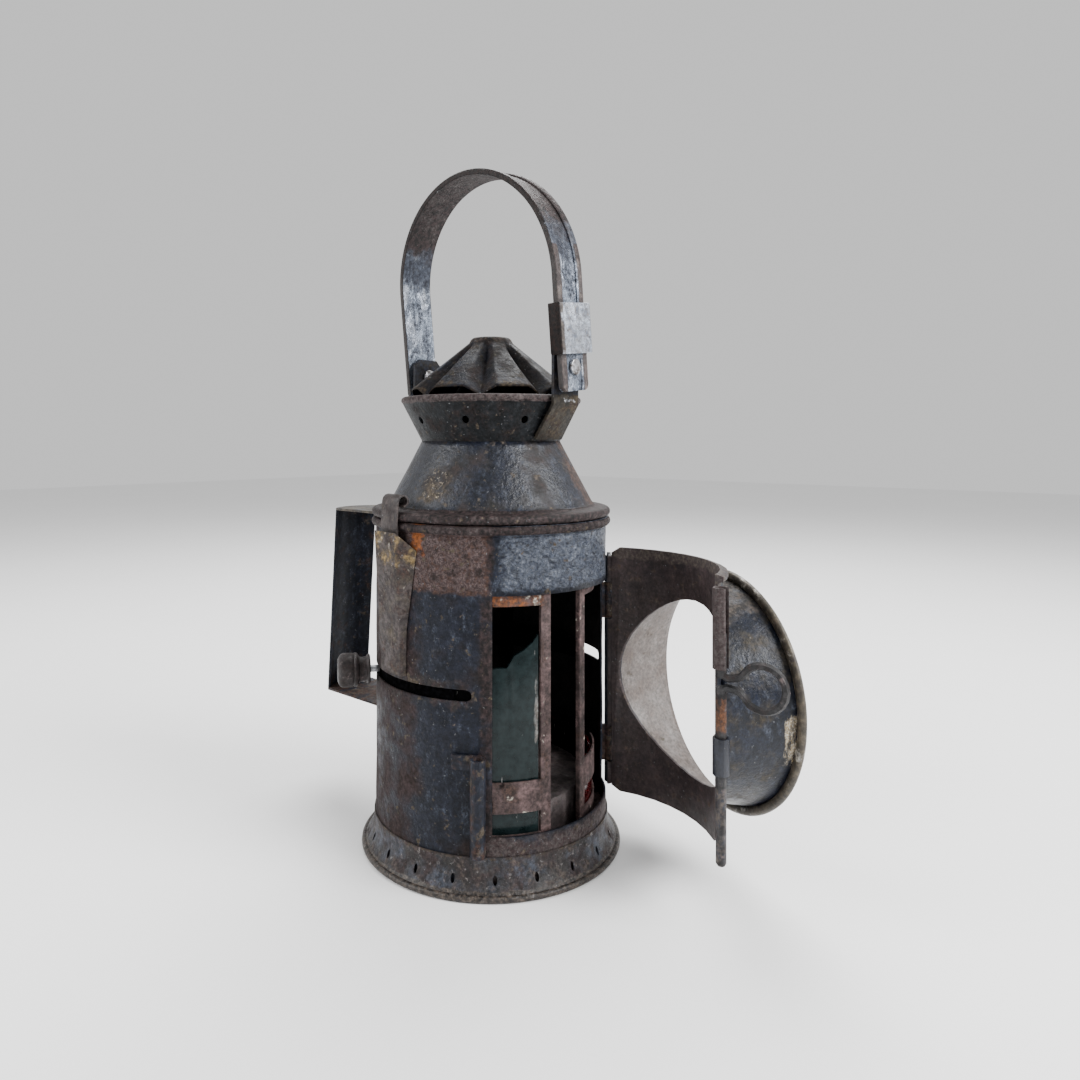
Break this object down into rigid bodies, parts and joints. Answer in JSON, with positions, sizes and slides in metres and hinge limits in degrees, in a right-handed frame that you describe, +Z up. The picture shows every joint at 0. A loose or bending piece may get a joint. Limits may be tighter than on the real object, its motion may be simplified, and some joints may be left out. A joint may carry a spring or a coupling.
{
  "type": "railway hand-signal lantern",
  "caption": "Round sheet-metal hand-signal lantern with a hooded lens door, coloured glass shades turned by knobs, a hinged vented lid, a strap bail and an oil font.",
  "frame": {"origin": "middle of the underside, on the surface that the lantern stands on", "axes": "+Z up, -Y out of the doorway along the closed lens, +Y towards the rear handle"},
  "size_m": [0.1403, 0.2549, 0.3112],
  "materials": {
    "blue_black_paint": "worn blue-black paint with rust showing through",
    "dark_paint": "sooty black paint",
    "rusty_sheet": "rusted sheet with traces of paint",
    "worn_steel": "bare worn steel",
    "brown_metal": "tarnished bare metal",
    "grey_tin": "dull tinplate",
    "burner_brass": "tarnished",
    "cotton": "charred cotton",
    "green_glass": "dirty",
    "red_glass": "dirty"
  },
  "bodies": {
    "body": {"barrel": "blue_black_paint", "base_skirt": "blue_black_paint", "base_plate": "dark_paint", "latch_keeper": "blue_black_paint", "handle_top_plate": "blue_black_paint", "handle_bottom_plate": "blue_black_paint", "handle_grip": "dark_paint", "catch_pocket": "rusty_sheet", "catch_spring": "rusty_sheet", "hinge_lug_lower": "blue_black_paint", "hinge_lug_upper": "blue_black_paint", "door_hinge_pin": "worn_steel", "shade_track_lower": "rusty_sheet", "shade_track_upper": "rusty_sheet", "lid_hinge_lug": "blue_black_paint", "lid_hinge_pin": "worn_steel"},
    "door": {"door_panel": "rusty_sheet", "lens_hood": "blue_black_paint", "hood_rim_wire": "brown_metal"},
    "latch": {"latch_rod": "rusty_sheet"},
    "green_shade": {"green_shade_frame": "rusty_sheet", "green_glass": "green_glass", "green_knob_stem": "worn_steel", "green_knob": "rusty_sheet"},
    "red_shade": {"red_shade_frame": "rusty_sheet", "red_glass": "red_glass", "red_knob_stem": "worn_steel", "red_knob": "rusty_sheet"},
    "lid": {"lid_cone": "blue_black_paint", "vent_collar": "blue_black_paint", "vent_deck": "dark_paint", "vent_cap": "dark_paint", "lid_hinge_leaf": "blue_black_paint", "bail_ear_front": "worn_steel", "bail_ear_rear": "worn_steel", "bail_rivet_front": "worn_steel", "bail_rivet_rear": "worn_steel", "bail_washer_front": "worn_steel", "bail_washer_rear": "worn_steel"},
    "bail": {"bail_strap": "worn_steel"},
    "sleeve": {"bail_sleeve": "worn_steel"},
    "font": {"oil_font": "grey_tin", "burner_cap": "burner_brass", "wick_tube": "burner_brass", "wick": "cotton"}
  },
  "joints": [
    {"name": "door_hinge", "type": "hinge", "parent": "body", "child": "door", "pos_m": [0.04553, -0.03625, 0.076], "axis": [0, 0, 1], "range_deg": [-61.5, 67]},
    {"name": "latch_lift", "type": "slide", "parent": "door", "child": "latch", "axis": [0, 0, 1], "range_m": [-0.008, 0.033]},
    {"name": "green_shade_turn", "type": "hinge", "parent": "body", "child": "green_shade", "pos_m": [0, 0, 0.0813], "axis": [0, 0, 1], "range_deg": [-38.5, 65.5]},
    {"name": "red_shade_turn", "type": "hinge", "parent": "body", "child": "red_shade", "pos_m": [0, 0, 0.0813], "axis": [0, 0, 1], "range_deg": [-54, 43.5]},
    {"name": "lid_hinge", "type": "hinge", "parent": "body", "child": "lid", "pos_m": [0.05776, -0.00863, 0.1526], "axis": [0.1478, 0.989, 0], "range_deg": [0, 95], "deforming": ["catch_spring"]},
    {"name": "bail_swing", "type": "hinge", "parent": "lid", "child": "bail", "pos_m": [0, 0, 0.218], "axis": [0, -1, 0], "range_deg": [-130, 126]},
    {"name": "sleeve_slide", "type": "slide", "parent": "bail", "child": "sleeve", "axis": [-0.1045, 0, 0.9945], "range_m": [0, 0.0145]},
    {"name": "font_lift", "type": "slide", "parent": "body", "child": "font", "axis": [0, 0, 1], "range_m": [0, 0.11]}
  ]
}
